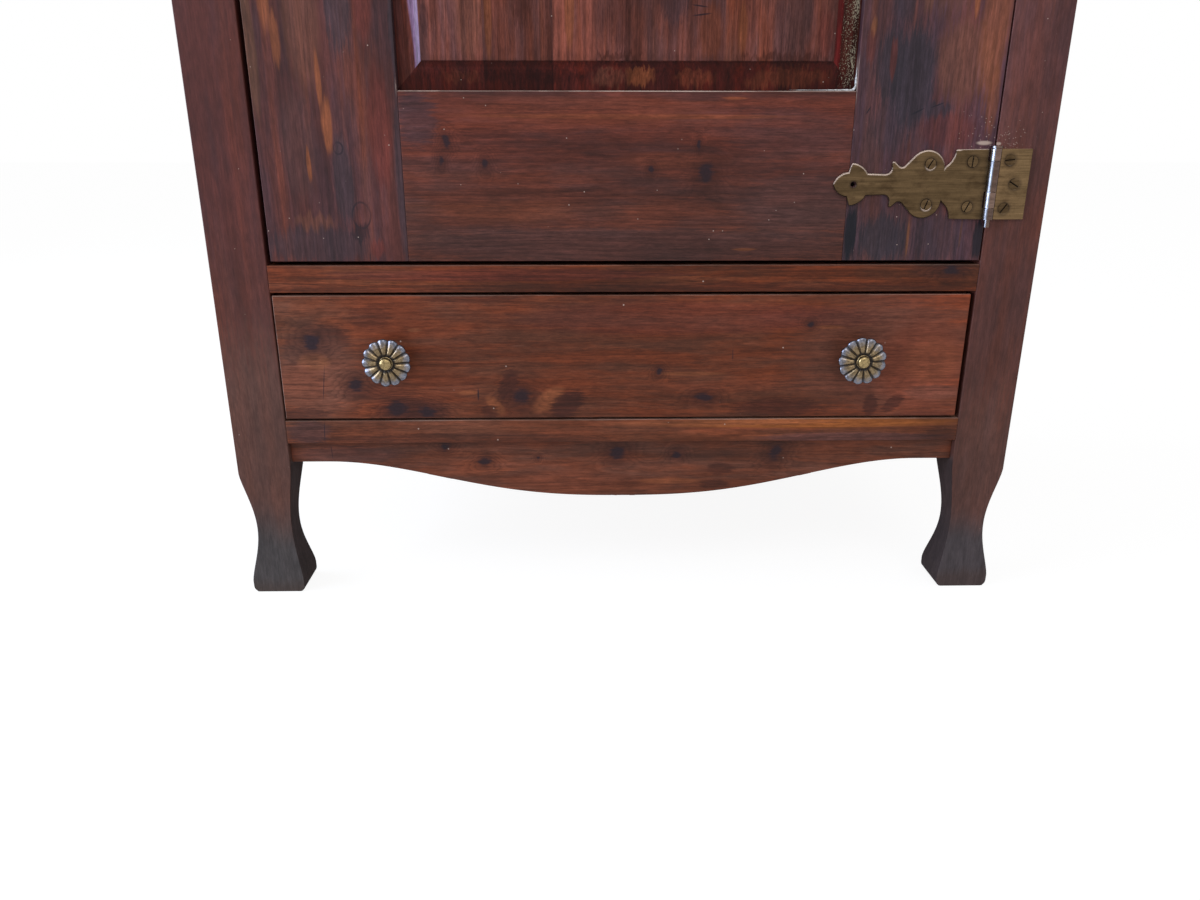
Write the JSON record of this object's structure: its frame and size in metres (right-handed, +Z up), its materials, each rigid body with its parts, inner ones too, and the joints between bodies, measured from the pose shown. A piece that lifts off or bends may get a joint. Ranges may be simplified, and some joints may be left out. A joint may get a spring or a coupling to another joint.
{
  "type": "wardrobe",
  "caption": "Tall wooden wardrobe on shaped feet: one panelled door on brass strap hinges over a drawer with flower knobs, hanging rod and hat shelf inside.",
  "frame": {"origin": "middle of the floor under the whole wardrobe, halfway between its widest points", "axes": "+Z up, -Y towards the front, +X to the right as seen from the front"},
  "size_m": [0.89, 0.565, 1.85],
  "materials": {
    "post_wood": "dull red-brown stain, feet darkened",
    "door_wood": "satin red-brown stain over knotty boards",
    "drawer_wood": "satin red-brown stain over knotty boards",
    "inside_wood": "bare, matte",
    "hinge_brass": "aged, brushed",
    "knob_brass": "antique, dark in the grooves"
  },
  "bodies": {
    "case": {"post_front_left": "post_wood", "post_front_right": "post_wood", "post_back_left": "post_wood", "post_back_right": "post_wood", "apron": "drawer_wood", "front_rail_bottom": "drawer_wood", "front_rail_middle": "drawer_wood", "front_rail_top": "post_wood", "back_rail_bottom": "inside_wood", "back_rail_top": "inside_wood", "side_rail_bottom_left": "post_wood", "side_rail_bottom_right": "post_wood", "side_rail_middle_left": "post_wood", "side_rail_middle_right": "post_wood", "side_rail_top_left": "post_wood", "side_rail_top_right": "post_wood", "side_panel_lower_left": "door_wood", "side_panel_lower_right": "door_wood", "side_panel_upper_left": "door_wood", "side_panel_upper_right": "door_wood", "back_board_1": "inside_wood", "back_board_2": "inside_wood", "back_board_3": "inside_wood", "back_board_4": "inside_wood", "top_board": "post_wood", "cornice_front": "post_wood", "cornice_left": "post_wood", "cornice_right": "post_wood", "floor_board": "inside_wood", "floor_cleats": "inside_wood", "drawer_runners": "inside_wood", "drawer_guides": "inside_wood", "drawer_stops": "inside_wood", "hat_shelf": "inside_wood", "shelf_cleats": "inside_wood", "hanging_rod": "inside_wood", "rod_sockets": "inside_wood", "door_stop": "post_wood", "hinge_leaf_lower": "hinge_brass", "hinge_leaf_upper": "hinge_brass", "hinge_pins": "hinge_brass", "leaf_screws": "hinge_brass"},
    "door": {"door_stile_latch": "door_wood", "door_stile_hinge": "door_wood", "door_rail_bottom": "door_wood", "door_rail_middle": "door_wood", "door_rail_top": "door_wood", "door_panel_lower": "door_wood", "door_panel_upper": "door_wood", "hinge_strap_lower": "hinge_brass", "hinge_strap_upper": "hinge_brass", "strap_screws": "hinge_brass"},
    "latch": {"door_knob": "knob_brass", "latch_bar": "knob_brass"},
    "drawer": {"drawer_front": "drawer_wood", "drawer_side_left": "inside_wood", "drawer_side_right": "inside_wood", "drawer_back": "inside_wood", "drawer_bottom": "inside_wood", "drawer_knobs": "knob_brass"}
  },
  "joints": [
    {"name": "door_hinge", "type": "hinge", "parent": "case", "child": "door", "pos_m": [0.3435, -0.243, 1.036], "axis": [0, 0, 1], "range_deg": [0, 170]},
    {"name": "latch_turn", "type": "hinge", "parent": "door", "child": "latch", "pos_m": [-0.2745, -0.2255, 0.985], "axis": [0, 1, 0], "range_deg": [0, 90]},
    {"name": "drawer_slide", "type": "slide", "parent": "case", "child": "drawer", "axis": [0, -1, 0], "range_m": [0, 0.33]}
  ]
}
